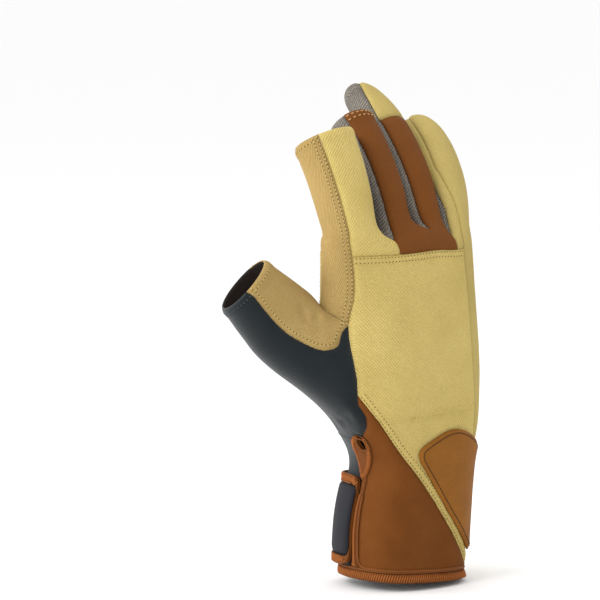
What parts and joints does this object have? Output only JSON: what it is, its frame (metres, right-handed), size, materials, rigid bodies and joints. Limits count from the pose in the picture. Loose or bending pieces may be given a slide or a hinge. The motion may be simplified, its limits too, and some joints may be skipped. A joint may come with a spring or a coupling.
{
  "type": "fishing glove",
  "caption": "Right-hand fishing glove held in worn form: open index, middle and thumb tips, padded back, knit gussets, palm patch, closing wrist strap and leather pull patch.",
  "frame": {"origin": "centre of the wrist opening, where the hand goes in and the glove is held up as if worn", "axes": "+Z from the wrist to the fingertips, -Y out of the back of the hand, +Y out of the palm, -X towards the thumb"},
  "size_m": [0.1358, 0.0829, 0.2402],
  "materials": {
    "tan_twill": "matt twill weave",
    "brown_jersey": "smooth stretch jersey",
    "neoprene": "brown cloth-faced foam",
    "black_suede": "matt synthetic suede",
    "grey_knit": "ribbed knit",
    "binding": "overlocked binding tape",
    "leather": "satin",
    "rubber": "satin moulded rubber"
  },
  "bodies": {
    "root": {"back_panel": "tan_twill", "index_back": "tan_twill", "knuckle_panel": "brown_jersey", "ring_tip_back": "tan_twill", "little_back": "tan_twill", "ulnar_panel": "tan_twill", "web_panel": "tan_twill", "thumb_shell": "black_suede", "palm_base": "black_suede", "palm_patch": "tan_twill", "middle_palm": "tan_twill", "ring_palm": "tan_twill", "ring_tip_palm": "black_suede", "little_palm": "tan_twill", "index_middle_gusset": "grey_knit", "middle_ring_gusset": "grey_knit", "ring_little_gusset": "grey_knit", "cuff_body": "neoprene", "hem_binding": "binding", "cuff_edge_binding": "binding", "slit_loop": "binding", "wrist_strap": "neoprene", "strap_binding": "binding", "strap_panel": "rubber", "leather_patch": "leather"}
  },
  "joints": []
}
